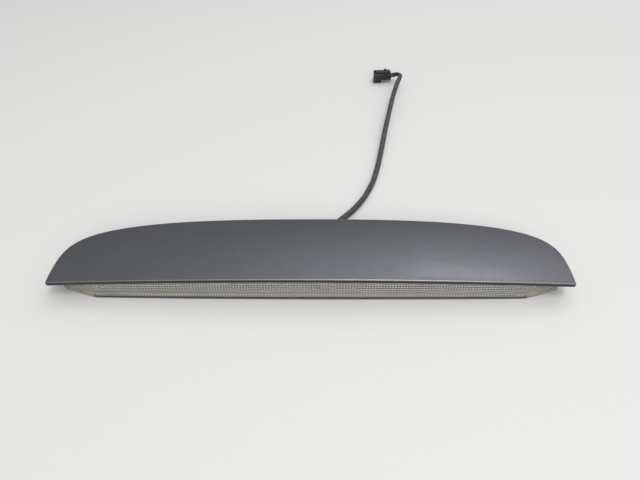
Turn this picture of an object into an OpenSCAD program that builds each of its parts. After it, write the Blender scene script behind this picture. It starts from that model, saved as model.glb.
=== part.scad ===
// Third brake light: a painted cover over a sealed light box with a clear lens along its straight
// edge, and a sleeved cable that ends in a two-way connector.
// Frame: +X along the lamp, +Y from the lens to the far edge, +Z up. The lamp stands on z = 0 and
// the origin is under the middle of its box.

/* [Cover] */
// Width from tip to tip
lamp_w = 442; // [436:1:450]
// Depth from the foot of the lens to the far edge
lamp_d = 83; // [82:0.5:86]
// Height at the middle of the lip
lamp_h = 26.2; // [26:0.1:28]
// Fall of the cover from its middle to its tips
crown_drop = 7.5; // [6.5:0.5:8.5]
// Fall of the cover from its lip to its far edge
dome_drop = 11; // [10:0.5:11.5]
// Wall of the cover
cover_t = 2.6; // [2.2:0.1:2.8]
// Height of the rolled rim and lip
rim_h = 4; // [3.8:0.1:4.4]
// Radius of the tips in plan
tip_r = 1.5; // [1:0.5:4]

/* [Lens] */
// Half width of the lens at its foot
lens_foot_w = 216; // [213:1:216]
// Half width of the lens at its top
lens_top_w = 217.5; // [216:0.5:218]
// Wall of the lens
lens_t = 2.2; // [2:0.1:2.4]
// Radius of the lens's corners in plan
lens_r = 8; // [7.5:0.5:9]
// How far the lens's ends curve back
lens_sweep = 11; // [8:0.5:11.5]
// Depth of the flange along the top of the lens
lens_flange = 5.5; // [5:0.5:6]

/* [Light box] */
// Wall of the light box and its wings
box_t = 2.2; // [2:0.1:2.4]
// Thickness of the foam pads
pad_t = 1.5; // [1:0.1:2]
// Number of LEDs
led_count = 12; // [8:2:12]
// Distance between LEDs
led_pitch = 27; // [24:1:27]
// Length of the circuit board
board_w = 336; // [330:2:340]
// Height of the circuit board
board_h = 8.8; // [8:0.1:9]

/* [Mounting] */
// Distance between the two mounting inserts
insert_pitch = 220; // [216:1:224]
// Radius of the insert's thread bore, for M5
insert_bore_r = 2.1; // [2:0.05:2.2]
// Length of an insert
insert_len = 9; // [8:0.5:10]

/* [Cable and connector] */
// Diameter of the cable's sleeve
cable_d = 5.7; // [5.4:0.1:5.8]
// Length of the connector housing
conn_len = 22.5; // [22.5:0.5:24]
// Width of the terminal lock
lock_w = 2.8; // [2.4:0.1:2.8]

/* [Hidden] */
$fn = 48;
eps = 0.01;

half_w = lamp_w / 2;
near_y = -lamp_d / 2;
far_y = lamp_d / 2;
lip_y = near_y + 1;        // front of the lip at its middle
lip_sweep = 2;             // the lip's ends lie this far behind its middle
far_n = 3.5;               // exponents of the curve of the far edge
far_m = 3.9;
far_base_y = near_y + 12.3; // the cover is widest here
tip_in = 0.4;              // the tips lie this far inside the widest part
far_steps = 24;            // points on each half of the far edge
lip_steps = 16;
lens_steps = 32;
corner_steps = 5;

crown_r = (half_w * half_w + crown_drop * crown_drop) / (2 * crown_drop);
dome_r = (pow(far_y - lip_y, 2) + dome_drop * dome_drop) / (2 * dome_drop);
crown_wedge = 10.4;        // angle that the crown covers, a little more than the lamp
crown_depth = 60;

joint_gap = 0.3;           // between lens, lip and light box
lens_z = 0.6;              // foot of the lens
lens_top_y = near_y + 1.7; // front of the lens at its top
lens_back_y = -20;         // where the lens's returns end
lens_bend_x = 180;         // the lens's front is almost straight up to here
lens_curl = 1.35;          // how evenly it turns back from there
seal_t = 0.9;              // from the lens to the light box's floor
seal_gap = 0.06;

roof_gap = rim_h + 0.5;    // from the crown to the light box's roof
box_rear_y = -15;
box_end_x = lens_top_w - lens_flange - joint_gap;
floor_top = pad_t + box_t;

board_t = 1.6;
board_front_y = -24.6;
board_back_y = board_front_y + board_t;
board_z = floor_top + 0.7;
led_z = board_z + board_h / 2;
post_xs = [-5 * led_pitch, 3, 5 * led_pitch]; // the middle one stands clear of the grommet
post_r = 3;
board_screw_r = 1.1;

mirror_front_y = -31.5;
mirror_t = 1.5;
mirror_half_w = 190;
shelf_y = -37.3;           // front of the reflector's shelf
shelf_half_w = 160;
shelf_t = 1.2;
cup_r = 4.3;
cup_root_r = 2.4;
cup_len = 5.1;

wing_x0 = 40;
wing_x1 = 172;
wing_inset = 10;           // from the cover's outline to the wing's edge
wing_wall_h = 7.5;
wing_rib_xs = [86, 134];
insert_y = 6;
insert_r = 4.5;
boss_r = 7;
cover_screws = [[-152, 10], [-62, 20], [62, 20], [152, 10]];
screw_r = 1.5;
screw_head_r = 3.2;
screw_top = 12;
screw_boss_r = 3.8;
screw_pad_h = 3.6;

grommet_x = -6;
grommet_z = 8;
grommet_end_y = -4;
vent = [-60, 9];           // x and z of the vent in the rear wall

block_x = [-46, -34];      // ends of the terminal block

conn_x = 77;               // mating face of the connector
conn_y = 322.2;
collar_x = conn_x + 10;
collar_half_y = 6.2;
collar_top = 13;
body_half_y = 4.8;
body_z = [4, 12];
seal_z = 8.4;
seal_r = 3.3;
conn_rear = conn_x + conn_len;
seal_x0 = conn_rear - 6.4; // ends of the seal; the cable meets its outer end
seal_x1 = conn_rear + 1.5;
lever_x = conn_x + 15;     // axis of the lever's trunnions
lever_z = 13.7;
lever_half_y = 3.3;
trunnion_r = 0.8;
lock_x = collar_x + 4.2;
lock_z = 6.4;
terminal_dy = 2;
terminal_z = 6.6;

// Centreline of the cable, from the grommet's end to the connector's seal
cable_route = [
    [-6, -4, 8], [-6, 6, 7.4], [-4.4, 15, 5.8], [-0.2, 24, 4.2], [8, 32.6, 3.4],
    [17.3, 41.2, 3], [26.3, 49.3, 2.9], [33.7, 57.2, 2.9], [41, 65.5, 2.9], [47.3, 74.4, 2.9],
    [52.6, 83.2, 2.9], [57.4, 93, 2.9], [61.2, 102.4, 3], [64.6, 111.7, 3.2], [69.7, 131, 3.5],
    [74, 151.2, 4.2], [78.1, 171.8, 5.4], [82.2, 193.2, 7], [86.8, 215.4, 8.6], [91.8, 238.8, 10.2],
    [97.2, 263, 11.6], [101.6, 280, 12.4], [105.6, 294.2, 13], [108.2, 302, 13.4],
    [110.3, 308.8, 13.4], [110.8, 313.6, 12.8], [109.2, 317.8, 11.8], [106, 320.8, 10.4],
    [101, 322.2, 8.4]
];
wire_r = 0.8;
wire_positive_route = [
    [-34, -20.8, 7.6], [-26, -20.8, 7.6], [-16, -21, 8.2], [-9.5, -20.8, 8.4], [-7.4, -18.7, 8.4]
];
wire_negative_route = [
    [-34, -20.8, 10.6], [-24, -20.8, 11], [-12, -21, 11], [-6.6, -20.8, 10.6], [-4.6, -18.7, 9.4]
];

// ---- Outlines ----

function mix(a, b, t) = a + (b - a) * t;
function flip_x(points) = [for (i = [len(points) - 1:-1:0]) [-points[i].x, points[i].y]];
function sweep_back(x) = lip_sweep * pow(x / half_w, 2);

// Right half of the cover's outline moved in by d, from its tip to the middle of its far edge
function far_half(d) =
    let (a = half_w - d, r = max(tip_r - d, 0.8), xc = a - tip_in - r,
         yc = lip_y + d + sweep_back(xc) + r)
    concat(
        [for (i = [1:corner_steps]) let (t = -90 + 90 * i / corner_steps)
            [xc + r * cos(t), yc + r * sin(t)]],
        [for (i = [0:far_steps]) let (t = 90 * pow(i / far_steps, 1.6))
            [a * pow(cos(t), 2 / far_n),
             far_base_y + (far_y - d - far_base_y) * pow(sin(t), 2 / far_m)]]
    );

function cover_outline(d) =
    let (half = far_half(d), back = flip_x(half),
         xc = half_w - d - tip_in - max(tip_r - d, 0.8))
    concat(
        [for (i = [0:lip_steps]) let (x = xc * (2 * i / lip_steps - 1))
            [x, lip_y + d + sweep_back(x)]],
        half,
        [for (i = [1:len(back) - 1]) back[i]]
    );

// How far the lens lies behind its middle at x
function lens_back(x) =
    sweep_back(x)
    + lens_sweep * pow(max(abs(x) - lens_bend_x, 0) / (lens_foot_w - lens_bend_x), lens_curl);

// Path round the front of the lens at height h, from 0 at its foot to 1 at its top, moved in by d
function lens_path(h, d) =
    let (w = mix(lens_foot_w, lens_top_w, h) - d, r = lens_r - d, xc = w - r,
         y0 = mix(near_y, lens_top_y, h) + d, yc = y0 + lens_back(xc) + r,
         right = concat(
            [for (i = [1:corner_steps]) let (t = -90 + 90 * i / corner_steps)
                [xc + r * cos(t), yc + r * sin(t)]],
            [[w, lens_back_y]]))
    concat(
        flip_x(right),
        [for (i = [0:lens_steps]) let (x = xc * (2 * i / lens_steps - 1))
            [x, y0 + lens_back(x)]],
        right
    );

// Height of the crown over a point
function crown_z(p) =
    let (r = crown_r - dome_r + sqrt(dome_r * dome_r - pow(p.y - lip_y, 2)))
    lamp_h - crown_r + sqrt(r * r - p.x * p.x);

// ---- Shared solids ----

// Everything below the crown moved down by drop
module under_crown(drop) {
    translate([0, 0, lamp_h - crown_r - drop])
        rotate([-90, 0, 0])
            rotate([0, 0, -90 - crown_wedge / 2])
                rotate_extrude(angle = crown_wedge, $fn = 720)
                    intersection() {
                        translate([crown_r - dome_r, lip_y]) circle(r = dome_r, $fn = 360);
                        translate([crown_r - crown_depth, -60]) square([crown_depth + 1, 120]);
                    }
}

// Closed skin over a row of rings that all have the same number of points
module skin(rings) {
    n = len(rings[0]);
    last = (len(rings) - 1) * n;
    sides = [for (k = [0:len(rings) - 2]) for (j = [0:n - 1])
        let (a = k * n + j, b = k * n + (j + 1) % n)
        each [[a, a + n, b], [b, a + n, b + n]]];
    caps = [[for (j = [0:n - 1]) j], [for (j = [n - 1:-1:0]) last + j]];
    polyhedron([for (ring = rings) each ring], concat(sides, caps), convexity = 6);
}

function unit(v) = v / norm(v);
function tangent(p, i, first, last) =
    i == 0 ? first : i == len(p) - 1 ? last : unit(p[i + 1] - p[i - 1]);

// Round tube along a route, square to the directions first and last at its ends
module tube(route, r, sides, first, last) {
    skin([for (i = [0:len(route) - 1])
        let (t = tangent(route, i, first, last), s = unit(cross(t, [0, 0, 1])), u = cross(s, t))
        [for (j = [0:sides - 1]) let (a = 360 * (j + 0.5) / sides)
            route[i] + r * (cos(a) * u + sin(a) * s)]]);
}

// Block between two corners
module block(low, high) {
    translate(low) cube(high - low);
}

// Bar along +X with rounded edges
module bar_x(x0, x1, half_y, z0, z1, r) {
    corner = [for (i = [0:4]) [r * sin(90 * i / 4), r * cos(90 * i / 4)]];
    quarter = [for (c = corner) [half_y - r + c.x, (z1 - z0) / 2 - r + c.y]];
    upper = concat(flip_x(quarter), quarter);
    lower = [for (i = [len(upper) - 1:-1:0]) [upper[i].x, -upper[i].y]];
    translate([x0, conn_y, (z0 + z1) / 2])
        rotate([90, 0, 90])
            linear_extrude(x1 - x0) polygon(concat(upper, lower));
}

module cylinder_y(x, z, y0, y1, r0, r1) {
    translate([x, y0, z]) rotate([-90, 0, 0]) cylinder(h = y1 - y0, r1 = r0, r2 = r1);
}

// ---- Cover ----

module cover_panel() color([0.36, 0.37, 0.39]) {
    difference() {
        intersection() {
            linear_extrude(lamp_h + 1) polygon(cover_outline(0));
            under_crown(0);
        }
        intersection() {
            translate([0, 0, -1]) linear_extrude(lamp_h + 2) polygon(cover_outline(cover_t));
            under_crown(cover_t);
        }
        under_crown(rim_h);
    }
    for (p = cover_screws) cover_boss(p);
}

module cover_boss(p) {
    base = pad_t + screw_pad_h;
    intersection() {
        translate([p.x, p.y, base]) difference() {
            cylinder(h = lamp_h, r = screw_boss_r);
            translate([0, 0, -1]) cylinder(h = screw_top - base + 1.5, r = screw_r);
        }
        under_crown(cover_t / 2);
    }
}

// ---- Lens ----

function lens_point(h, d, k, z) =
    let (p = lens_path(h, d)[k])
    [p.x, p.y, is_undef(z) ? crown_z(p) - rim_h - joint_gap : z];

function lens_low(p) = [p.x, p.y, p.z - lens_t];

module outer_lens() color([0.8, 0.79, 0.75, 0.6]) {
    count = len(lens_path(0, 0));
    skin([for (k = [0:count - 1]) [
        lens_point(0, 0, k, lens_z),
        lens_point(0, lens_t, k, lens_z),
        lens_low(lens_point(1, lens_t, k)),
        lens_low(lens_point(1, lens_flange, k)),
        lens_point(1, lens_flange, k),
        lens_point(1, 0, k)
    ]]);
}

// Point on the inside of the lens's wall at height z, moved in by d
function lens_inside(k, z, d) =
    let (foot = lens_point(0, lens_t + d, k, lens_z),
         top = lens_low(lens_point(1, lens_t + d, k)))
    mix(foot, top, (z - lens_z) / (top.z - lens_z));

module lens_seal() color([0.08, 0.08, 0.08]) {
    count = len(lens_path(0, 0));
    skin([for (k = [0:count - 1]) [
        lens_inside(k, pad_t, seal_gap),
        lens_point(0, lens_t + seal_t, k, pad_t),
        lens_point(0, lens_t + seal_t, k, floor_top),
        lens_inside(k, floor_top, seal_gap)
    ]]);
}

// ---- Light box ----

module plan_to_rear(path) {
    polygon(concat(path, [[path[len(path) - 1].x, box_rear_y], [path[0].x, box_rear_y]]));
}

module box_ends_plan() {
    back = lens_back_y + joint_gap;
    translate([-box_end_x, back]) square([2 * box_end_x, box_rear_y - back]);
}

// The space inside the light box, open to the lens at its front and ends
module box_inside() {
    intersection() {
        union() {
            block([-box_end_x + box_t, near_y, floor_top],
                  [box_end_x - box_t, box_rear_y - box_t, lamp_h]);
            block([-half_w, near_y, floor_top], [half_w, lens_back_y + joint_gap, lamp_h]);
        }
        under_crown(roof_gap + box_t);
    }
}

module light_box() {
    difference() {
        intersection() {
            union() {
                translate([0, 0, pad_t]) linear_extrude(box_t) union() {
                    plan_to_rear(lens_path(0, lens_t + seal_t));
                    box_ends_plan();
                }
                translate([0, 0, floor_top - eps]) linear_extrude(lamp_h)
                    plan_to_rear(lens_path(1, lens_flange + joint_gap));
            }
            under_crown(roof_gap);
        }
        box_inside();
    }
}

module board_posts() {
    for (x = post_xs)
        cylinder_y(x, led_z, board_back_y, box_rear_y - box_t + eps, post_r, post_r);
}

module wing_plan(d) {
    intersection() {
        polygon(cover_outline(wing_inset + d));
        translate([wing_x0 + d, box_rear_y - 1]) square([wing_x1 - wing_x0 - 2 * d, 60]);
    }
}

module wing() {
    translate([0, 0, pad_t]) {
        linear_extrude(box_t) wing_plan(0);
        linear_extrude(wing_wall_h) difference() {
            wing_plan(0);
            wing_plan(box_t);
        }
        for (x = wing_rib_xs)
            translate([x, box_rear_y - 1, 0]) cube([1.6, 38, 5.5]);
        translate([insert_pitch / 2, insert_y, 0]) cylinder(h = insert_len + 2, r = boss_r);
    }
    for (p = [cover_screws[2], cover_screws[3]])
        translate([p.x, p.y, pad_t]) cylinder(h = screw_pad_h, r = screw_head_r + 2.6);
}

module wing_holes() {
    translate([insert_pitch / 2, insert_y, pad_t - 1]) cylinder(h = insert_len + 1, r = insert_r);
    for (p = [cover_screws[2], cover_screws[3]])
        translate([p.x, p.y, pad_t - 1]) {
            cylinder(h = 3.1, r = screw_head_r + 0.4);
            cylinder(h = 8, r = screw_r + 0.3);
        }
}

module lamp_housing() color([0.1, 0.1, 0.11]) difference() {
    union() {
        light_box();
        board_posts();
        wing();
        mirror([1, 0, 0]) wing();
    }
    wing_holes();
    mirror([1, 0, 0]) wing_holes();
    for (x = post_xs)
        cylinder_y(x, led_z, board_back_y - 1, board_back_y + 5, board_screw_r + 0.05,
                   board_screw_r + 0.05);
    cylinder_y(grommet_x, grommet_z, box_rear_y - 5, box_rear_y + 1, 3.4, 3.4);
    cylinder_y(vent.x, vent.y, box_rear_y - 5, box_rear_y + 1, 1.5, 1.5);
}

module vent_patch() color([0.85, 0.85, 0.83])
    cylinder_y(vent.x, vent.y, box_rear_y, box_rear_y + 0.4, 4, 4);

module insert(side) color([0.8, 0.65, 0.3])
    translate([side * insert_pitch / 2, insert_y, pad_t]) difference() {
        cylinder(h = insert_len, r = insert_r);
        translate([0, 0, -1]) cylinder(h = insert_len + 2, r = insert_bore_r);
    }

module cover_screw(p) color([0.7, 0.7, 0.72]) translate([p.x, p.y, 0]) {
    difference() {
        translate([0, 0, pad_t + 0.2]) cylinder(h = 1.9, r = screw_head_r);
        translate([0, 0, pad_t]) cylinder(h = 1.2, r = 1.4, $fn = 6);
    }
    translate([0, 0, pad_t + 2]) cylinder(h = screw_top - pad_t - 2, r = screw_r - 0.03);
}

module gasket_wing(side) color([0.2, 0.2, 0.21])
    translate([side * insert_pitch / 2, insert_y, 0]) linear_extrude(pad_t) difference() {
        union() {
            square([52, 22], center = true);
            square([44, 30], center = true);
            for (sx = [-1, 1], sy = [-1, 1]) translate([22 * sx, 11 * sy]) circle(r = 4);
        }
        circle(r = 8.5);
    }

module gasket_front() color([0.2, 0.2, 0.21]) linear_extrude(pad_t) {
    translate([-180, -34]) square([360, 14]);
    for (s = [-1, 1]) translate([180 * s, -27]) circle(r = 7);
}

// ---- Inside the light box ----

module mirror_cup(x, grow) {
    cylinder_y(x, led_z, mirror_front_y, mirror_front_y + cup_len, cup_r + grow, cup_root_r + grow,
               $fn = 72);
}

function led_x(i) = (i - (led_count + 1) / 2) * led_pitch;

module reflector() color([0.86, 0.87, 0.88]) difference() {
    union() {
        intersection() {
            block([-mirror_half_w, mirror_front_y, floor_top],
                  [mirror_half_w, mirror_front_y + mirror_t, lamp_h]);
            under_crown(roof_gap + box_t + joint_gap);
        }
        block([-shelf_half_w, shelf_y, floor_top],
              [shelf_half_w, mirror_front_y + eps, floor_top + shelf_t]);
        for (i = [1:led_count]) mirror_cup(led_x(i), 0.7);
    }
    for (i = [1:led_count]) mirror_cup(led_x(i), 0);
}

module circuit_board() color([0.1, 0.35, 0.2]) difference() {
    block([-board_w / 2, board_front_y, board_z], [board_w / 2, board_back_y, board_z + board_h]);
    for (x = post_xs)
        cylinder_y(x, led_z, board_front_y - 1, board_back_y + 1, board_screw_r + 0.2,
                   board_screw_r + 0.2);
}

module led(i) color([0.93, 0.9, 0.7]) {
    block([led_x(i) - 1.75, board_front_y - 1.3, led_z - 1.5],
          [led_x(i) + 1.75, board_front_y, led_z + 1.5]);
    cylinder_y(led_x(i), led_z, board_front_y - 2, board_front_y - 1, 1.3, 1.3);
    translate([led_x(i), board_front_y - 2, led_z]) sphere(r = 1.3);
}

module resistor(i) color([0.12, 0.12, 0.13])
    block([60 * (i - 2.5) - 3.2, board_back_y, led_z - 1.6],
          [60 * (i - 2.5) + 3.2, board_back_y + 0.8, led_z + 1.6]);

module diode() color([0.12, 0.12, 0.13])
    block([-66, board_back_y, led_z - 1.5], [-61, board_back_y + 2.2, led_z + 1.5]);

module terminal_block() color([0.9, 0.9, 0.86])
    difference() {
        block([block_x[0], board_back_y, board_z + 0.6],
              [block_x[1], board_back_y + 4.4, board_z + board_h]);
        for (x = [-43, -37])
            cylinder_y(x, led_z + 1, board_back_y + 2, board_back_y + 5, 1.2, 1.2);
    }

module wire_positive() color([0.7, 0.1, 0.08])
    tube(wire_positive_route, wire_r, 8, [1, 0, 0], [0, 1, 0]);

module wire_negative() color([0.1, 0.1, 0.1])
    tube(wire_negative_route, wire_r, 8, [1, 0, 0], [0, 1, 0]);

module board_screw(x) color([0.7, 0.7, 0.72]) difference() {
    union() {
        cylinder_y(x, led_z, board_front_y - 1.5, board_front_y, 2.1, 2.3);
        cylinder_y(x, led_z, board_front_y - eps, board_back_y + 4.2, board_screw_r, board_screw_r);
    }
    translate([x, board_front_y - 2, led_z])
        rotate([-90, 0, 0]) cylinder(h = 1.4, r = 1, $fn = 6);
}

// ---- Cable ----

module cable_grommet() color([0.13, 0.13, 0.13]) {
    cylinder_y(grommet_x, grommet_z, -18.7, -17.2, 4.2, 4.2);
    cylinder_y(grommet_x, grommet_z, -17.2, box_rear_y, 3.4, 3.4);
    cylinder_y(grommet_x, grommet_z, box_rear_y, -13.4, 4.8, 4.8);
    cylinder_y(grommet_x, grommet_z, -13.4, grommet_end_y, 4.3, 3.1);
}

module cable() color([0.22, 0.21, 0.22])
    tube(cable_route, cable_d / 2, 10, [0, 1, 0], [-1, 0, 0]);

// ---- Connector ----

module conn_block(x0, x1, y0, y1, z0, z1) {
    block([x0, conn_y + y0, z0], [x1, conn_y + y1, z1]);
}

module lever_ears() {
    for (s = [-1, 1])
        translate([0, s * (lever_half_y + 0.9), 0])
            conn_block(lever_x - 1.8, lever_x + 1.8, -0.6, 0.6, body_z[1] - 1, lever_z + 1.6);
}

module connector_housing() color([0.09, 0.09, 0.09]) difference() {
    union() {
        bar_x(conn_x, collar_x, collar_half_y, 0, collar_top, 1.4);
        bar_x(collar_x - 1, conn_rear - 1.5, body_half_y, body_z[0], body_z[1], 0.8);
        bar_x(conn_rear - 1.5, conn_rear, body_half_y + 0.8, body_z[0] - 0.6, body_z[1] + 0.4, 0.8);
        for (x = [collar_x + 1, collar_x + 7.4, collar_x + 9.2])
            bar_x(x, x + 0.8, body_half_y + 0.5, body_z[0] - 0.4, body_z[1] - 0.6, 0.6);
        lever_ears();
    }
    // gap round the nose that takes the mating collar
    difference() {
        conn_block(conn_x - 1, conn_x + 7.5, -5, 5, 1.2, 11.8);
        conn_block(conn_x - 2, conn_x + 8, -3.7, 3.7, 2.6, 9.8);
    }
    // channel of the lever through the top of the collar
    conn_block(conn_x - 1, collar_x + 1, -lever_half_y - 0.4, lever_half_y + 0.4,
               body_z[1] - 0.3, collar_top + 1);
    for (s = [-1, 1])
        translate([0, s * terminal_dy, 0])
            conn_block(conn_x - 1, conn_rear - 6, -1.1, 1.1, terminal_z - 1.1, terminal_z + 1.1);
    translate([conn_rear - 6.5, conn_y, seal_z]) rotate([0, 90, 0]) cylinder(h = 8, r = seal_r);
    conn_block(lock_x - lock_w / 2 - 0.1, lock_x + lock_w / 2 + 0.1, -body_half_y - 1, 3.2,
               lock_z - 1.6, lock_z + 1.6);
    translate([lever_x, conn_y - 8, lever_z])
        rotate([-90, 0, 0]) cylinder(h = 16, r = trunnion_r + 0.05);
}

module wire_seal() color([0.3, 0.3, 0.31])
    translate([0, conn_y, seal_z]) rotate([0, 90, 0]) {
        translate([0, 0, seal_x0]) cylinder(h = seal_x1 - seal_x0, r = seal_r - 0.3);
        for (x = [0.6, 2.6, 4.6])
            translate([0, 0, seal_x0 + x]) cylinder(h = 0.9, r = seal_r - 0.02);
    }

module terminal(side) color([0.8, 0.65, 0.3]) translate([0, side * terminal_dy, 0]) difference() {
    conn_block(conn_x + 0.6, conn_x + 10, -1, 1, terminal_z - 1, terminal_z + 1);
    conn_block(conn_x, conn_x + 7, -0.5, 0.5, terminal_z - 0.5, terminal_z + 0.5);
}

module release_lever() color([0.11, 0.11, 0.11]) {
    z0 = lever_z - 0.6;
    z1 = lever_z + 0.6;
    conn_block(conn_x + 2, conn_rear - 2, -lever_half_y, lever_half_y, z0, z1);
    conn_block(conn_x + 2, conn_x + 3.6, -1.8, 1.8, z0 - 1.2, z0 + eps);
    conn_block(conn_rear - 5.2, conn_rear - 2, -lever_half_y, lever_half_y, z1 - eps, z1 + 0.9);
    translate([lever_x, conn_y - lever_half_y - 1.4, lever_z])
        rotate([-90, 0, 0]) cylinder(h = 2 * lever_half_y + 2.8, r = trunnion_r);
}

module terminal_lock() color([0.12, 0.12, 0.12]) {
    conn_block(lock_x - lock_w / 2, lock_x + lock_w / 2, -body_half_y - 0.9, 2.9,
               lock_z - 1.5, lock_z + 1.5);
    conn_block(lock_x - 2.2, lock_x + 2.2, -body_half_y - 1.2, -body_half_y - 0.05,
               lock_z - 2.2, lock_z + 2.2);
}

cover_panel();
outer_lens();
lens_seal();
lamp_housing();
reflector();
circuit_board();
for (i = [1:led_count]) led(i);
for (i = [1:4]) resistor(i);
diode();
terminal_block();
wire_positive();
wire_negative();
for (i = [1:3]) board_screw(post_xs[i - 1]);
for (i = [1:4]) cover_screw(cover_screws[i - 1]);
insert(-1);  // insert_left
insert(1);  // insert_right
gasket_wing(-1);  // gasket_left
gasket_wing(1);  // gasket_right
gasket_front();
vent_patch();
cable_grommet();
cable();
connector_housing();
wire_seal();
terminal(-1);  // terminal_1
terminal(1);  // terminal_2
release_lever();
terminal_lock();
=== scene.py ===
from math import cos, exp, pi, radians, sin, sqrt

import bmesh
import bpy
import numpy as np
from mathutils import Matrix, Vector


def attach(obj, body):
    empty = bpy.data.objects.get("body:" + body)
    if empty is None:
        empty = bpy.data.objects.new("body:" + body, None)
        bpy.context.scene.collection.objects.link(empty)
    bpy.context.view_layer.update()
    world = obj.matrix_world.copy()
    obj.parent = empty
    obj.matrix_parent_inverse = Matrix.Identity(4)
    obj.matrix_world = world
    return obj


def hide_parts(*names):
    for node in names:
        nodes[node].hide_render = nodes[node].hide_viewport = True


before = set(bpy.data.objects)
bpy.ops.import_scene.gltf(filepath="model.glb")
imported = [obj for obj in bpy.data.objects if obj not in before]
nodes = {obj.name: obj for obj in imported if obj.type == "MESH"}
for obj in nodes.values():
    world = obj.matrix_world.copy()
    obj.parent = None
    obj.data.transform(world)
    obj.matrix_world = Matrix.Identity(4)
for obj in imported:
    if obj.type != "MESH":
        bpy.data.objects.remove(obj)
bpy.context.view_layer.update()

MM = 0.001
ROOT = "lamp"

# ---- The lamp's own sizes, in millimetres, as its CAD source has them ----

HALF_W = 221.0
NEAR_Y = -41.5
FAR_Y = 41.5
LIP_Y = -40.5
LIP_SWEEP = 2.0
LAMP_H = 26.2
FAR_N = 3.5            # the far edge is half a superellipse with these two exponents
FAR_M = 3.9
FAR_BASE_Y = -29.2
TIP_IN = 0.4
TIP_R = 1.5
COVER_T = 2.6
RIM_H = 4.0
CROWN_DROP = 7.5
DOME_DROP = 11.0
CROWN_R = (HALF_W ** 2 + CROWN_DROP ** 2) / (2 * CROWN_DROP)
DOME_R = ((FAR_Y - LIP_Y) ** 2 + DOME_DROP ** 2) / (2 * DOME_DROP)
LENS_FOOT_W = 216.0
LENS_TOP_W = 217.5
LENS_T = 2.2
LENS_R = 8.0
LENS_SWEEP = 11.0
LENS_BEND_X = 180.0
LENS_CURL = 1.35       # how sharply the ends of the lens turn back
LENS_FLANGE = 5.5
LENS_TOP_Y = -39.8
LENS_BACK_Y = -20.0
LENS_BOND_X = 187.0    # the bonded ends of the lens start here
LENS_Z = 0.6
JOINT_GAP = 0.3        # between the top of the lens and the cover's rim
CABLE_R = 2.85
COVER_SCREWS = [(-152, 10), (-62, 20), (62, 20), (152, 10)]


def mix(a, b, t):
    return a + (b - a) * t


def sweep_back(x):
    """How far the lip lies behind its own middle."""
    return LIP_SWEEP * (x / HALF_W) ** 2


def crown_z(x, y):
    """Height of the cover's top, bowed along the lamp and across it."""
    r = CROWN_R - DOME_R + sqrt(DOME_R ** 2 - (y - LIP_Y) ** 2)
    return LAMP_H - CROWN_R + sqrt(r * r - x * x)


# ---- Mesh helpers ----

MERGE_DIST = 1e-7    # metres


class Build:
    """Collects points in millimetres, faces and a material number for each face."""

    def __init__(self):
        self.points, self.faces, self.mats = [], [], []

    def add(self, points):
        start = len(self.points)
        self.points.extend(points)
        return list(range(start, start + len(points)))

    def face(self, corners):
        self.faces.append(list(corners))
        self.mats.append(0)

    def strip(self, a, b, closed):
        """Quads between two rows of the same length."""
        n = len(a)
        for i in range(n if closed else n - 1):
            j = (i + 1) % n
            self.face((a[i], a[j], b[j], b[i]))

    def loft(self, rows):
        """A tube through closed rows."""
        ids = [self.add(row) for row in rows]
        for a, b in zip(ids, ids[1:]):
            self.strip(a, b, True)
        return ids

    def lathe(self, x, y, profile, count=40):
        """Turns a closed profile of (radius, height) points about an upright axis."""
        turns = [2 * pi * i / count for i in range(count)]
        rows = [self.add([(x + r * cos(a), y + r * sin(a), h) for a in turns])
                for r, h in profile]
        for a, b in zip(rows, rows[1:] + rows[:1]):
            self.strip(a, b, True)

    def make(self, name, materials=()):
        """A new smooth object on the lamp, its doubled points merged and its faces outward."""
        mesh = bpy.data.meshes.new(name)
        mesh.from_pydata([Vector(p) * MM for p in self.points], [], self.faces)
        for m in materials:
            mesh.materials.append(m)
        mesh.polygons.foreach_set("material_index", self.mats)
        mesh.polygons.foreach_set("use_smooth", [True] * len(mesh.polygons))
        mesh.validate()
        mesh.update()
        o = bpy.data.objects.new(name, mesh)
        bpy.context.scene.collection.objects.link(o)
        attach(o, ROOT)
        bm = bmesh.new()
        bm.from_mesh(mesh)
        bmesh.ops.remove_doubles(bm, verts=bm.verts, dist=MERGE_DIST)
        bmesh.ops.recalc_face_normals(bm, faces=bm.faces)
        bm.to_mesh(mesh)
        bm.free()
        return o


def sharp_edges(o, degrees):
    o.data.set_sharp_from_angle(angle=radians(degrees))


def quarter_arc(steps):
    """Sine and 1 - cosine from 0 to 90 degrees."""
    return [(sin(pi / 2 * i / steps), 1 - cos(pi / 2 * i / steps)) for i in range(steps + 1)]


# ---- Camera ----

CAMERA_LENS = 27.28
CAMERA_PLACE = (0.01964, -0.28435, 0.33681)
CAMERA_TURNS = ((1.92, "Z"), (42.87, "X"), (-1.38, "Z"))    # heading, pitch and roll, in degrees

camera = bpy.data.objects.new("camera", bpy.data.cameras.new("camera"))
bpy.context.scene.collection.objects.link(camera)
camera.data.lens = CAMERA_LENS
camera.data.clip_start = 0.01
pose = Matrix.Translation(CAMERA_PLACE)
for turn, axis in CAMERA_TURNS:
    pose = pose @ Matrix.Rotation(radians(turn), 4, axis)
camera.matrix_world = pose
bpy.context.scene.camera = camera

# ---- Cable ----

CABLE_START, CABLE_END = (0, 1, 0), (-1, 0, 0)    # the ways it runs at its ends
CABLE_SIDES = 28
CABLE_STEP = 1.0
ROUTE_STEPS = 16                                  # points on each span of the route
FADE = 6                                          # waves and pinch fade out over its ends
WAVES = [(0.012, 0.21, 0), (0.008, 0.57, 1.3)]    # share of the radius, radians per mm, start
PINCH = 0.16                                      # share of the radius, in the last bend
PINCH_FROM_END, PINCH_LONG = 14, 6
PINCH_TURN = 0.7                                  # where it is, in radians round the sleeve

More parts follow.
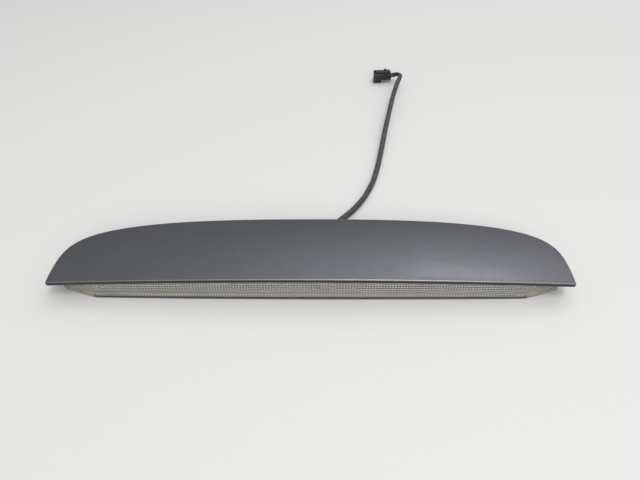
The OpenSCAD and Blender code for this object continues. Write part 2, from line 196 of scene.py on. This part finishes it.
CABLE_ROUTE = [
    (-6, -4, 8), (-6, 6, 7.4), (-4.4, 15, 5.8), (-0.2, 24, 4.2), (8, 32.6, 3.4),
    (17.3, 41.2, 3), (26.3, 49.3, 2.9), (33.7, 57.2, 2.9), (41, 65.5, 2.9), (47.3, 74.4, 2.9),
    (52.6, 83.2, 2.9), (57.4, 93, 2.9), (61.2, 102.4, 3), (64.6, 111.7, 3.2), (69.7, 131, 3.5),
    (74, 151.2, 4.2), (78.1, 171.8, 5.4), (82.2, 193.2, 7), (86.8, 215.4, 8.6), (91.8, 238.8, 10.2),
    (97.2, 263, 11.6), (101.6, 280, 12.4), (105.6, 294.2, 13), (108.2, 302, 13.4),
    (110.3, 308.8, 13.4), (110.8, 313.6, 12.8), (109.2, 317.8, 11.8), (106, 320.8, 10.4),
    (101, 322.2, 8.4),
]


def smooth_route(route, first, last, step):
    """A Catmull-Rom curve through the route, resampled evenly."""
    p = [Vector(q) for q in route]
    p = [p[0] - Vector(first) * (p[1] - p[0]).length] + p + \
        [p[-1] + Vector(last) * (p[-1] - p[-2]).length]
    dense = []
    for a, b, c, d in zip(p, p[1:], p[2:], p[3:]):
        for i in range(ROUTE_STEPS):
            t = i / ROUTE_STEPS
            dense.append(0.5 * ((2 * b) + (c - a) * t + (2 * a - 5 * b + 4 * c - d) * t * t
                                + (3 * b - a - 3 * c + d) * t ** 3))
    dense.append(p[-2])
    d = np.array(dense)
    s = np.concatenate([[0], np.cumsum(np.linalg.norm(np.diff(d, axis=0), axis=1))])
    count = round(s[-1] / step)
    at = np.linspace(0, s[-1], count + 1)
    return [Vector([np.interp(q, s, d[:, k]) for k in range(3)]) for q in at], float(s[-1])


def frames_along(path, first, last, side):
    """Tangent and two side vectors at each point, carried along without twist."""
    out, u = [], Vector(side)
    for i, p in enumerate(path):
        t = (Vector(first) if i == 0 else Vector(last) if i == len(path) - 1
             else (path[i + 1] - path[i - 1]).normalized())
        u = (u - t * u.dot(t)).normalized()
        out.append((t, u, t.cross(u)))
    return out


cable_path, cable_length = smooth_route(CABLE_ROUTE, CABLE_START, CABLE_END, CABLE_STEP)
cable_build = Build()
cable_rows = []
for i, (p, (t, u, v)) in enumerate(zip(cable_path, frames_along(cable_path, CABLE_START,
                                                                CABLE_END, (0, 0, 1)))):
    s = i * cable_length / (len(cable_path) - 1)
    pinch = PINCH * exp(-((s - cable_length + PINCH_FROM_END) / PINCH_LONG) ** 2)
    wave = sum(share * sin(s * rate + start) for share, rate, start in WAVES)
    fade = min(1, s / FADE, (cable_length - s) / FADE)
    row = []
    for k in range(CABLE_SIDES):
        a = 2 * pi * k / CABLE_SIDES
        r = CABLE_R * (1 + fade * (wave - pinch * abs(cos(a - PINCH_TURN)) ** 3))
        row.append(p + r * (cos(a) * u + sin(a) * v))
    cable_rows.append(row)
cable_ids = cable_build.loft(cable_rows)
cable_build.face(cable_ids[0][::-1])
cable_build.face(cable_ids[-1])
cable = cable_build.make("cable_sleeve")
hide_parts("cable")

# ---- Cover ----

COLUMNS = 120        # columns of the cover's grid
ARC = 15             # points on each tip's corner
EDGE_R = 1.5         # rounding of the rolled edge
TIP_R_MIN = 0.8      # a tip's corner is never sharper than this
FAR_DENSE = 1200     # points that the far edge is measured on
FAR_CROWD = 2.6      # how they crowd toward the tip
GRID_CROWD = 1.15    # and how the grid's columns do
FOOT_R = 0.5         # rounding at the foot of the rim, outside
LIP_BREAK = 0.3      # and inside
FILLET_R = 0.9       # fillet between the rim and the roof
PILOT_R = 1.5
BOSS_R = 3.8
BOSS_Z = 5.1         # foot of the screw bosses
BOSS_BREAK = 0.2
BOSS_FLARE = [(0, 2.6), (0.3, 1.9), (1.1, 1.4), (2.2, 0)]    # wider by, under the roof by


def far_points(d, count):
    """Right half of the far edge from its tip to its middle, and each point's share of it."""
    a = HALF_W - d
    t = (np.linspace(0, 1, FAR_DENSE) ** FAR_CROWD) * pi / 2
    x = a * np.cos(t) ** (2 / FAR_N)
    x[-1] = 0
    y = FAR_BASE_Y + (FAR_Y - d - FAR_BASE_Y) * np.sin(t) ** (2 / FAR_M)
    s = np.concatenate([[0], np.cumsum(np.hypot(np.diff(x), np.diff(y)))])
    at = np.linspace(0, 1, count + 1) ** GRID_CROWD * s[-1]
    return np.stack([np.interp(at, s, x), np.interp(at, s, y)], 1), at / s[-1]


def cover_loop(d):
    """Closed outline moved in by d.

    It runs along the lip to the right, round the right tip, back along the far edge and
    round the left tip.
    """
    far, share = far_points(d, COLUMNS // 2)
    r = max(TIP_R - d, TIP_R_MIN)
    xc = HALF_W - d - TIP_IN - r
    near = [(-x, LIP_Y + d + sweep_back(x)) for x in xc * (1 - share)]
    near += [(-x, y) for x, y in near[-2::-1]]
    yc = LIP_Y + d + sweep_back(xc) + r
    arc = [(xc + r * sin(pi / 2 * i / ARC), yc - r * cos(pi / 2 * i / ARC))
           for i in range(1, ARC + 1)]
    right = [tuple(p) for p in far]
    left = [(-x, y) for x, y in right[:-1]][::-1]
    return near + arc + right + left + [(-x, y) for x, y in arc[::-1]]


def cover_row(d, drop):
    """The outline moved in by d, drop below the crown."""
    return [(x, y, crown_z(x, y) - drop) for x, y in cover_loop(d)]


def cover_grid(build, loop, d, drop, flip):
    """Fills a loop with quads, in columns from the lip to the far edge."""
    n = COLUMNS + 1
    plan = cover_loop(d)
    far_start = n + ARC
    columns = []
    for i in range(n):
        k = far_start + (n - 1 - i)
        if i == 0:
            columns.append([loop[0]] + [loop[-1 - j] for j in range(ARC)] + [loop[k]])
        elif i == n - 1:
            columns.append([loop[i]] + [loop[n + j] for j in range(ARC)] + [loop[k]])
        else:
            (x0, y0), (x1, y1) = plan[i], plan[k]
            inner = [(mix(x0, x1, j / (ARC + 1)), mix(y0, y1, j / (ARC + 1)))
                     for j in range(1, ARC + 1)]
            ids = build.add([(x, y, crown_z(x, y) - drop) for x, y in inner])
            columns.append([loop[i]] + ids + [loop[k]])
    for a, b in zip(columns, columns[1:]):
        for j in range(ARC + 1):
            quad = (a[j], b[j], b[j + 1], a[j + 1])
            build.face(quad[::-1] if flip else quad)


def make_cover():
    b = Build()
    rows = [cover_row(EDGE_R * (1 - s), EDGE_R * c) for s, c in quarter_arc(7)]
    rows.append(cover_row(0, (EDGE_R + RIM_H - FOOT_R) / 2))
    rows += [cover_row(FOOT_R * c, RIM_H - FOOT_R * (1 - s)) for s, c in quarter_arc(3)]
    rows.append(cover_row(COVER_T - LIP_BREAK, RIM_H))
    rows.append(cover_row(COVER_T, RIM_H - LIP_BREAK))
    rows += [cover_row(COVER_T + FILLET_R * c, COVER_T + FILLET_R * (1 - s))
             for s, c in quarter_arc(4)]
    ids = b.loft(rows)
    cover_grid(b, ids[0], EDGE_R, 0, False)
    cover_grid(b, ids[-1], COVER_T + FILLET_R, COVER_T, True)
    for x, y in COVER_SCREWS:
        roof = crown_z(x, y) - COVER_T / 2
        foot = [(PILOT_R, BOSS_Z), (BOSS_R - BOSS_BREAK, BOSS_Z), (BOSS_R, BOSS_Z + BOSS_BREAK)]
        flare = [(BOSS_R + wider, roof - under) for wider, under in BOSS_FLARE]
        b.lathe(x, y, foot + flare + [(PILOT_R, roof)])
    return b


# ---- Lens ----

PILLOW_W = 2.37
PILLOW_STEPS = 6     # points across a pillow
PILLOW_AT = 0.6      # the pillows are this wide at this share of the height
VALLEY = 0.15        # share of a pillow's depth that stays between its neighbours
PLAIN_CELLS = 3      # cells at either end without relief
LENS_EDGE_R = 0.35
LENS_ROWS = 12       # rows of the outer wall
FRONT_POINTS = 240   # points that the lens's plan is measured on, along its front
CORNER_POINTS = 16   # and round each corner

# Bands up the inner wall, as shares of its height, with their rows of points: a dark foot,
# plain, a faint row of pillows, plain, a dark line, a rib, three rows of pillows, plain.
# The dark foot, the dark line and the pillow rows' dark edges take a painted shade colour, except
# at the bonded ends.
BANDS = [(0.0, 0.10, "foot", 1), (0.10, 0.17, "plain", 1), (0.17, 0.30, "faint", 6),
         (0.30, 0.40, "plain", 2), (0.40, 0.42, "foot", 1), (0.42, 0.555, "rib", 6),
         (0.555, 0.69, "pillow", 7), (0.69, 0.825, "pillow", 7), (0.825, 0.96, "pillow", 7),
         (0.96, 1.0, "plain", 1)]
BAND_DEPTH = {"foot": 0.0, "plain": 0.0, "faint": 0.28, "rib": 0.42, "pillow": 0.55}
# the groove colour is painted shade, the crest colour a painted glint
OPTIC, GROOVE_SHADE, CREST_GLINT, BOND = 1, 2, 3, 4    # material numbers on the inner wall


def lens_plan(h, d):
    """Path round the front of the lens, moved in by d, at h of its height, as dense points."""
    w = mix(LENS_FOOT_W, LENS_TOP_W, h) - d
    r = LENS_R - d
    xc = w - r
    y0 = mix(NEAR_Y, LENS_TOP_Y, h) + d

    def back(x):
        bend = max(abs(x) - LENS_BEND_X, 0) / (LENS_FOOT_W - LENS_BEND_X)
        return sweep_back(x) + LENS_SWEEP * bend ** LENS_CURL

    yc = y0 + back(xc) + r
    right = [(xc + r * cos(t), yc + r * sin(t))
             for t in np.linspace(-pi / 2, 0, CORNER_POINTS)[1:]]
    right.append((w, LENS_BACK_Y))
    front = [(x, y0 + back(x)) for x in np.linspace(-xc, xc, FRONT_POINTS)]
    left = [(-x, y) for x, y in right][::-1]
    return np.array(left + front + right)


def resampled(path, count):
    """The path as count evenly spaced points, and its length."""
    s = np.concatenate([[0], np.cumsum(np.hypot(*np.diff(path, axis=0).T))])
    at = np.linspace(0, s[-1], count)
    return np.stack([np.interp(at, s, path[:, 0]), np.interp(at, s, path[:, 1])], 1), s[-1]


class LensWall:
    """Points on the lens's wall, moved in by d, at a height from 0 at its foot to 1 at its top."""

    def __init__(self, count):
        self.count = count
        self.cache = {}

    def rails(self, d):
        """Plans of the foot and of the top."""
        if d not in self.cache:
            self.cache[d] = (resampled(lens_plan(0, d), self.count)[0],
                             resampled(lens_plan(1, d), self.count)[0])
        return self.cache[d]

    def row(self, d, v, low, drop=0.0, bump=None):
        """One row, v of the way from z = low up to the lens's top edge less drop."""
        foot, top = self.rails(d)
        z_top = np.array([crown_z(x, y) for x, y in top]) - RIM_H - JOINT_GAP - drop
        z = low * (1 - v) + z_top * v
        plan = foot + (top - foot) * np.clip((z - LENS_Z) / (z_top - LENS_Z), 0, 1)[:, None]
        if bump is not None:
            tangent = np.gradient(plan, axis=0)
            tangent /= np.linalg.norm(tangent, axis=1)[:, None]
            plan = plan + np.stack([-tangent[:, 1], tangent[:, 0]], 1) * bump[:, None]
        return [(x, y, q) for (x, y), q in zip(plan, z)]


def inner_mat(kind, up, across, x):
    """Material number of a face on the lens's inner wall, up and across in its cell."""
    # the foot gets the painted shade colour, except at its bonded ends
    if kind == "foot":
        return BOND if abs(x) > LENS_BOND_X else GROOVE_SHADE
    # a pillow row's top and bottom faces get painted shade
    if kind == "pillow" and up in (0, 5, 6):
        return GROOVE_SHADE
    # the middle of each pillow gets a near-opaque white: a painted glint
    if kind in ("pillow", "faint") and 1 <= up <= 4 and 1 <= across <= 3:
        return CREST_GLINT
    return OPTIC


def make_lens():
    cells = round(resampled(lens_plan(PILLOW_AT, LENS_T), 2)[1] / PILLOW_W)
    count = cells * PILLOW_STEPS + 1
    wall = LensWall(count)
    top_x = wall.rails(0)[1][:, 0]
    step = np.arange(count)
    across = 1 - (2 * (step / PILLOW_STEPS % 1) - 1) ** 2
    relief = np.clip(np.minimum(step, step[::-1]) / PILLOW_STEPS - PLAIN_CELLS, 0, 1)
    b = Build()

    rows, kinds = [], []
    for lo, hi, kind, steps in BANDS:
        for i in range(steps):
            u = i / steps
            bump = BAND_DEPTH[kind] * (1 - (2 * u - 1) ** 2) * relief
            if kind in ("pillow", "faint"):
                bump = bump * mix(VALLEY, 1, across)
            rows.append(wall.row(LENS_T, mix(lo, hi, u), LENS_Z, LENS_T, bump))
            kinds.append((kind, i))
    rows.append(wall.row(LENS_T, 1, LENS_Z, LENS_T))
    rows.append(wall.row(LENS_FLANGE, 1, LENS_Z, LENS_T))
    rows.append(wall.row(LENS_FLANGE, 1, LENS_Z))
    rows.append(wall.row(LENS_EDGE_R, 1, LENS_Z))
    rows += [wall.row(0, v, LENS_Z + LENS_EDGE_R, LENS_EDGE_R)
             for v in np.linspace(1, 0, LENS_ROWS)]
    rows.append(wall.row(LENS_EDGE_R, 0, LENS_Z))
    ids = [b.add(r) for r in rows]
    for k, (p, q) in enumerate(zip(ids, ids[1:] + ids[:1])):
        b.strip(p, q, False)
        if k < len(kinds):
            b.mats[1 - count:] = [inner_mat(*kinds[k], i % PILLOW_STEPS, top_x[i])
                                  for i in range(count - 1)]
    b.face([r[0] for r in ids])
    b.face([r[-1] for r in ids][::-1])
    return b


# ---- Materials ----

def node(tree, kind, inputs=(), **settings):
    """A new node, its inputs linked where they are given sockets."""
    n = tree.nodes.new(kind)
    for key, value in settings.items():
        setattr(n, key, value)
    for key, value in dict(inputs).items():
        if isinstance(value, bpy.types.NodeSocket):
            tree.links.new(value, n.inputs[key])
        else:
            n.inputs[key].default_value = value
    return n


class Finish:
    """A Principled material whose colour, roughness and bump come from textures."""

    def __init__(self, name, **sockets):
        self.mat = bpy.data.materials.new(name)
        self.mat.use_nodes = True
        self.tree = self.mat.node_tree
        self.bsdf = self.tree.nodes["Principled BSDF"]
        self.place = node(self.tree, "ShaderNodeTexCoord").outputs["Object"]
        for key, value in sockets.items():
            self.bsdf.inputs[key.replace("_", " ")].default_value = value

    def noise(self, size, detail=2.0):
        """Noise whose features are about size millimetres across."""
        return node(self.tree, "ShaderNodeTexNoise",
                    {"Vector": self.place, "Scale": 1 / (size * MM),
                     "Detail": detail}).outputs["Fac"]

    def cells(self, size, output="Distance"):
        return node(self.tree, "ShaderNodeTexVoronoi",
                    {"Vector": self.place, "Scale": 1 / (size * MM)}).outputs[output]

    def remap(self, value, low, high, to_low=0.0, to_high=1.0):
        return node(self.tree, "ShaderNodeMapRange",
                    {"Value": value, "From Min": low, "From Max": high,
                     "To Min": to_low, "To Max": to_high}).outputs[0]

    def maths(self, operation, a, b):
        return node(self.tree, "ShaderNodeMath", {0: a, 1: b}, operation=operation).outputs[0]

    def blend(self, fac, a, b):
        n = node(self.tree, "ShaderNodeMix", data_type="RGBA")
        for index, value in ((0, fac), (6, a), (7, b)):
            if isinstance(value, bpy.types.NodeSocket):
                self.tree.links.new(value, n.inputs[index])
            else:
                n.inputs[index].default_value = value
        return n.outputs[2]

    def bump(self, height, depth, strength=1.0, into="Normal"):
        """Bump of a depth in millimetres."""
        self.into(into, node(self.tree, "ShaderNodeBump",
                             {"Height": height, "Distance": depth * MM,
                              "Strength": strength}).outputs[0])

    def into(self, socket, value):
        self.tree.links.new(value, self.bsdf.inputs[socket])


def ramp(tree, value, stops):
    """A colour ramp through (place, colour) stops."""
    n = node(tree, "ShaderNodeValToRGB", {"Fac": value})
    for at, _ in stops[1:-1]:
        n.color_ramp.elements.new(at)
    for e, (at, colour) in zip(n.color_ramp.elements, stops):
        e.position, e.color = at, colour
    return n.outputs[0]


def rgb(r, g, b):
    return (r, g, b, 1.0)


def grey(v):
    return (v, v, v, 1.0)


def up_share(f):
    """1 where the surface faces up, 0 where it stands upright."""
    normal = node(f.tree, "ShaderNodeNewGeometry").outputs["Normal"]
    z = node(f.tree, "ShaderNodeSeparateXYZ", {"Vector": normal}).outputs["Z"]
    return f.remap(z, 0.15, 0.85)


def lip_highlight_share(f):
    """1 along the roll at the lamp's front edge, where a bright highlight line is painted on."""
    normal = node(f.tree, "ShaderNodeNewGeometry").outputs["Normal"]
    way = node(f.tree, "ShaderNodeSeparateXYZ", {"Vector": normal})
    roll = f.maths("MULTIPLY", f.remap(way.outputs["Z"], 0.95, 0.87),
                   f.remap(way.outputs["Z"], 0.6, 0.76))
    return f.maths("MULTIPLY", roll, f.remap(way.outputs["Y"], -0.15, -0.35))


PAINT_DARK, PAINT_LIGHT = rgb(0.088, 0.093, 0.104), rgb(0.158, 0.167, 0.187)
# a painted highlight for the lip's roll, and near black for the upright faces, partly bare plastic
# and partly painted shade
PAINT_LIP_HIGHLIGHT, PAINT_SIDE_BARE_AND_SHADE = rgb(0.5, 0.52, 0.57), rgb(0.015, 0.0155, 0.018)
FLAKE_SIZE = 0.35
FLAKES, MOTTLE, CLOUD = 0.35, 0.8, 0.25    # how strongly each shades the paint
# how far the lip's roll is blended toward its painted highlight
LIP_HIGHLIGHT_STRENGTH = 0.6


def paint():
    """Metallic paint under a clear coat: flakes, mottle and cloud on top, a painted highlight along
    the lip's roll, and near-black sides, partly bare black plastic and partly painted shade.
    """
    f = Finish("cover_paint", Metallic=0.85, Coat_Weight=0.6, Coat_Roughness=0.17)
    tone = f.remap(f.cells(FLAKE_SIZE, "Color"), 0, 1, -0.5, 0.5)
    mottle = f.maths("SUBTRACT", f.noise(1.6, 3.0), 0.5)
    cloud = f.maths("SUBTRACT", f.noise(60), 0.5)
    shade = f.maths("ADD", f.maths("MULTIPLY", tone, FLAKES),
                    f.maths("MULTIPLY", mottle, MOTTLE))
    shade = f.maths("ADD", shade, f.maths("MULTIPLY", cloud, CLOUD))
    top = f.blend(f.maths("ADD", shade, 0.5), PAINT_DARK, PAINT_LIGHT)
    # the lip's roll is blended toward a light colour: a painted highlight line
    top = f.blend(f.maths("MULTIPLY", lip_highlight_share(f), LIP_HIGHLIGHT_STRENGTH), top, PAINT_LIP_HIGHLIGHT)
    # faces that stand upright or face down go near black: partly bare black plastic, partly painted
    # shade
    f.into("Base Color", f.blend(up_share(f), PAINT_SIDE_BARE_AND_SHADE, top))
    f.bump(f.noise(1.4, 1.0), 0.012, 1.0, "Coat Normal")
    f.bump(f.cells(FLAKE_SIZE), 0.01, 0.6)
    f.into("Roughness", f.remap(f.noise(9, 3.0), 0.3, 0.7, 0.37, 0.43))
    return f.mat


def plastic(name, colour, size, depth, rough=(0.45, 0.6), lighter=1.6):
    """Moulded plastic or rubber with a grain of a size and depth in millimetres."""
    f = Finish(name)
    f.into("Base Color", f.blend(f.remap(f.noise(size * 12, 3.0), 0.35, 0.7),
                                 rgb(*colour), rgb(*[c * lighter for c in colour])))
    f.into("Roughness", f.remap(f.noise(size * 3), 0.3, 0.7, *rough))
    f.bump(f.noise(size), depth)
    return f.mat


def lens_outer():
    f = Finish("lens_clear", Roughness=0.03, IOR=1.49, Transmission_Weight=1.0)
    f.into("Base Color", f.blend(f.noise(25), rgb(0.97, 0.965, 0.95), rgb(0.93, 0.925, 0.905)))
    f.into("Roughness", f.remap(f.noise(3, 3.0), 0.35, 0.7, 0.02, 0.08))
    f.bump(f.noise(2.5), 0.004)
    return f.mat


def lens_inner(name, light, dark, clear):
    f = Finish(name, IOR=1.49, Transmission_Weight=clear)
    f.into("Base Color", f.blend(f.noise(1.2), rgb(*dark), rgb(*light)))
    f.into("Roughness", f.remap(f.noise(2), 0.3, 0.7, 0.02, 0.08))
    return f.mat


def metal(name, colour, rough, grain):
    f = Finish(name, Metallic=1.0)
    f.into("Base Color", f.blend(f.noise(grain * 6, 3.0), rgb(*colour),
                                 rgb(*[c * 0.78 for c in colour])))
    f.into("Roughness", f.remap(f.noise(grain, 3.0), 0.3, 0.7, *rough))
    f.bump(f.noise(grain), 0.01)
    return f.mat


def foam():
    f = Finish("foam_black")
    pores = f.cells(0.55)
    f.into("Base Color", ramp(f.tree, pores, [(0.0, grey(0.012)), (0.35, grey(0.03)),
                                              (0.8, grey(0.06))]))
    f.into("Roughness", f.remap(pores, 0, 0.6, 1.0, 0.8))
    f.bump(pores, 0.25, 0.8)
    return f.mat


def board():
    """Solder mask over tracks, laid out on the upright board's face."""
    f = Finish("board_green", Coat_Weight=0.6, Coat_Roughness=0.15)
    mapped = node(f.tree, "ShaderNodeMapping",
                  {"Vector": f.place, "Rotation": (radians(90), 0, 0)})
    brick = node(f.tree, "ShaderNodeTexBrick",
                 {"Vector": mapped.outputs[0], "Scale": 100.0, "Color1": rgb(0.015, 0.12, 0.04),
                  "Color2": rgb(0.02, 0.16, 0.055), "Mortar": rgb(0.03, 0.24, 0.09),
                  "Mortar Size": 0.02, "Brick Width": 1.3, "Row Height": 0.28})
    f.into("Base Color", brick.outputs["Color"])
    f.into("Roughness", f.remap(f.noise(1.5), 0.3, 0.7, 0.3, 0.45))
    f.bump(brick.outputs["Fac"], 0.035)
    return f.mat


def sleeve():
    f = Finish("cable_sleeve", Specular_IOR_Level=0.45)
    dust = f.remap(f.noise(7, 4.0), 0.45, 0.75)
    f.into("Base Color", f.blend(dust, rgb(0.042, 0.041, 0.041), rgb(0.08, 0.078, 0.078)))
    f.into("Roughness", f.remap(f.noise(2.0, 3.0), 0.3, 0.7, 0.34, 0.5))
    f.bump(f.noise(0.9, 3.0), 0.03)
    return f.mat


def led_amber():
    f = Finish("led_amber", IOR=1.45, Coat_Weight=0.8)
    f.into("Base Color", f.blend(f.noise(0.5), rgb(0.85, 0.72, 0.3), rgb(0.95, 0.88, 0.55)))
    f.into("Roughness", f.remap(f.noise(0.8), 0.3, 0.7, 0.15, 0.3))
    f.bump(f.noise(0.25), 0.01)
    return f.mat


PLASTICS = {    # colour, grain size, grain depth, roughness, how much lighter its spots are
    "sealant": ((0.012, 0.012, 0.012), 1.1, 0.06, (0.5, 0.7)),
    "housing_black": ((0.013, 0.013, 0.014), 0.45, 0.035, (0.42, 0.58)),
    "component_black": ((0.015, 0.015, 0.016), 0.2, 0.01),
    "block_white": ((0.62, 0.61, 0.57), 0.4, 0.015, (0.35, 0.5), 1.15),
    "wire_red": ((0.35, 0.01, 0.008), 0.5, 0.01, (0.3, 0.42), 1.3),
    "wire_black": ((0.012, 0.012, 0.012), 0.5, 0.01, (0.3, 0.42)),
    "membrane_white": ((0.66, 0.66, 0.64), 0.25, 0.04, (0.7, 0.9), 1.15),
    "grommet_rubber": ((0.014, 0.014, 0.014), 0.7, 0.03, (0.5, 0.68)),
    "connector_black": ((0.009, 0.009, 0.0095), 0.3, 0.015, (0.3, 0.45)),
    "seal_grey": ((0.09, 0.09, 0.095), 0.5, 0.02, (0.45, 0.6), 1.3),
}
METALS = {      # colour, roughness, grain size
    "mirror_coat": ((0.86, 0.86, 0.85), (0.12, 0.26), 1.5),
    "screw_steel": ((0.62, 0.63, 0.64), (0.22, 0.42), 0.5),
    "insert_brass": ((0.72, 0.52, 0.22), (0.25, 0.42), 0.6),
    "contact_brass": ((0.78, 0.62, 0.34), (0.18, 0.35), 0.4),
}
LENS_INNERS = {    # light, dark, how clear, in the order of the inner wall's material numbers
    "lens_optic": ((0.95, 0.92, 0.84), (0.85, 0.82, 0.74), 0.45),
    # dark: painted shade in the grooves and along the foot
    "lens_groove": ((0.11, 0.1, 0.085), (0.07, 0.065, 0.055), 0.3),
    # near-opaque white: a painted glint on the pillow crowns
    "lens_crest": ((0.99, 0.98, 0.95), (0.94, 0.92, 0.87), 0.05),
    "lens_bond": ((0.8, 0.68, 0.52), (0.62, 0.5, 0.37), 0.1),
}
MATS = {"cover_paint": paint(), "lens_clear": lens_outer(), "board_green": board(),
        "led_amber": led_amber(), "foam_black": foam(), "cable_sleeve": sleeve()}
for make_finish, table in ((plastic, PLASTICS), (metal, METALS), (lens_inner, LENS_INNERS)):
    for name, looks in table.items():
        MATS[name] = make_finish(name, *looks)

# ---- Detailed pieces ----

cable.data.materials.append(MATS["cable_sleeve"])

cover = make_cover().make("cover_shell", [MATS["cover_paint"]])
sharp_edges(cover, 38)
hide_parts("cover_panel")

lens = make_lens().make("lens_shell", [MATS[name] for name in ("lens_clear", *LENS_INNERS)])
sharp_edges(lens, 50)
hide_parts("outer_lens")

# ---- CAD nodes that stay, each with its slot's material and broken edges ----

BEVELS = {    # width of the broken edges in millimetres, where it isn't BEVEL
    "lamp_housing": 0.35, "lens_seal": 0.1, "reflector": 0.12, "circuit_board": 0.12,
    "terminal_block": 0.25, "gasket_left": 0.3, "gasket_right": 0.3, "gasket_front": 0.3,
    "cable_grommet": 0.3, "connector_housing": 0.2, "wire_seal": 0.15, "release_lever": 0.22,
    "terminal_lock": 0.2, "insert_left": 0.2, "insert_right": 0.2, "vent_patch": 0.1,
}
BEVEL = 0.08
BEVEL_ANGLE = 35    # edges sharper than this many degrees are broken
FLAT_ANGLE = 0.5    # faces within this many degrees are joined first
WELD_DIST = 1e-6    # metres

for name, o in nodes.items():
    if o.hide_render:
        continue
    mesh = o.data
    if "custom_normal" in mesh.attributes:    # these would hide the bevels' own shading
        mesh.attributes.remove(mesh.attributes["custom_normal"])
    o.material_slots[0].material = MATS[mesh.materials[0].name]
    mesh.polygons.foreach_set("use_smooth", [True] * len(mesh.polygons))
    weld = o.modifiers.new("weld", "WELD")
    weld.merge_threshold = WELD_DIST
    flat = o.modifiers.new("flat", "DECIMATE")
    flat.decimate_type = "DISSOLVE"
    flat.angle_limit = radians(FLAT_ANGLE)
    bevel = o.modifiers.new("bevel", "BEVEL")
    bevel.width = BEVELS.get(name, BEVEL) * MM
    bevel.segments = 2
    bevel.limit_method = "ANGLE"
    bevel.angle_limit = radians(BEVEL_ANGLE)
    bevel.harden_normals = True

# ---- Floor, lights and world ----

FLOOR_HALF = 4    # metres
corners = [(-FLOOR_HALF, -FLOOR_HALF, 0), (FLOOR_HALF, -FLOOR_HALF, 0),
           (FLOOR_HALF, FLOOR_HALF, 0), (-FLOOR_HALF, FLOOR_HALF, 0)]
floor_mesh = bpy.data.meshes.new("floor")
floor_mesh.from_pydata(corners, [], [(0, 1, 2, 3)])
floor = bpy.data.objects.new("floor", floor_mesh)
bpy.context.scene.collection.objects.link(floor)
table_top = Finish("table_top", Roughness=0.55, Specular_IOR_Level=0.25)
table_top.into("Base Color", table_top.blend(table_top.noise(2.5, 3.0), rgb(0.76, 0.76, 0.75),
                                             rgb(0.80, 0.80, 0.79)))
floor_mesh.materials.append(table_top.mat)

SKY_FROM = -0.1    # the sky's colours start at this height on the unit sphere
SKY = [(0.0, grey(0.25)), (0.3, rgb(0.42, 0.42, 0.4242)), (0.55, rgb(0.75, 0.75, 0.7575)),
       (0.75, rgb(0.95, 0.95, 0.9595)), (1.0, grey(1.0))]
SKY_LEFT, SKY_RIGHT = 0.72, 1.2
SKY_LEVEL = 0.66
GLOW_WAY = (0.2424, 0.5198, 0.8192)    # toward the soft glow of the window wall
GLOW_TIGHT = 9.0

world = bpy.data.worlds.new("studio")
bpy.context.scene.world = world
world.use_nodes = True
tree = world.node_tree
tree.nodes.clear()


def sky_node(kind, inputs, **settings):
    return node(tree, kind, inputs, **settings).outputs[0]


facing = node(tree, "ShaderNodeTexCoord").outputs["Generated"]
way = node(tree, "ShaderNodeSeparateXYZ", {"Vector": facing}).outputs
height = sky_node("ShaderNodeMapRange", {"Value": way["Z"], "From Min": SKY_FROM,
                                         "From Max": 1.0})
sideways = sky_node("ShaderNodeMapRange", {"Value": way["X"], "From Min": -1.0, "From Max": 1.0,
                                           "To Min": SKY_LEFT, "To Max": SKY_RIGHT})
level = sky_node("ShaderNodeMath", {0: sideways, 1: SKY_LEVEL}, operation="MULTIPLY")
near_glow = node(tree, "ShaderNodeVectorMath", {0: facing, 1: GLOW_WAY},
                 operation="DOT_PRODUCT").outputs["Value"]
front_glow = sky_node("ShaderNodeMath", {0: near_glow, 1: 0.0}, operation="MAXIMUM")
glow = sky_node("ShaderNodeMath", {0: front_glow, 1: GLOW_TIGHT}, operation="POWER")
strength = sky_node("ShaderNodeMath", {0: level, 1: glow}, operation="ADD")
background = sky_node("ShaderNodeBackground", {"Color": ramp(tree, height, SKY),
                                               "Strength": strength})
tree.links.new(background, node(tree, "ShaderNodeOutputWorld").inputs["Surface"])

LIGHTS = {    # place, aim, size, power, colour
    "window": ((0.92, 1.5, 1.75), (0.1, -0.03, 0), (0.7, 0.4), 2.1, (1.0, 0.99, 0.98)),
    "ceiling": ((0.5, -0.5, 2.2), (0, 0, 0), (0.9, 0.5), 13, (1.0, 1.0, 0.99)),
    "front": ((0.3, -1.9, 0.9), (0, 0, 0), (1.8, 0.9), 13, (1.0, 0.99, 0.97)),
}
for name, (place, aim, size, power, colour) in LIGHTS.items():
    light = bpy.data.lights.new(name, "AREA")
    light.shape, light.size, light.size_y = "RECTANGLE", *size
    light.energy, light.color = power, colour
    o = bpy.data.objects.new(name, light)
    o.location = place
    o.rotation_mode = "QUATERNION"
    o.rotation_quaternion = (Vector(aim) - Vector(place)).to_track_quat("-Z", "Y")
    bpy.context.scene.collection.objects.link(o)

bpy.context.scene.view_settings.view_transform = "Standard"
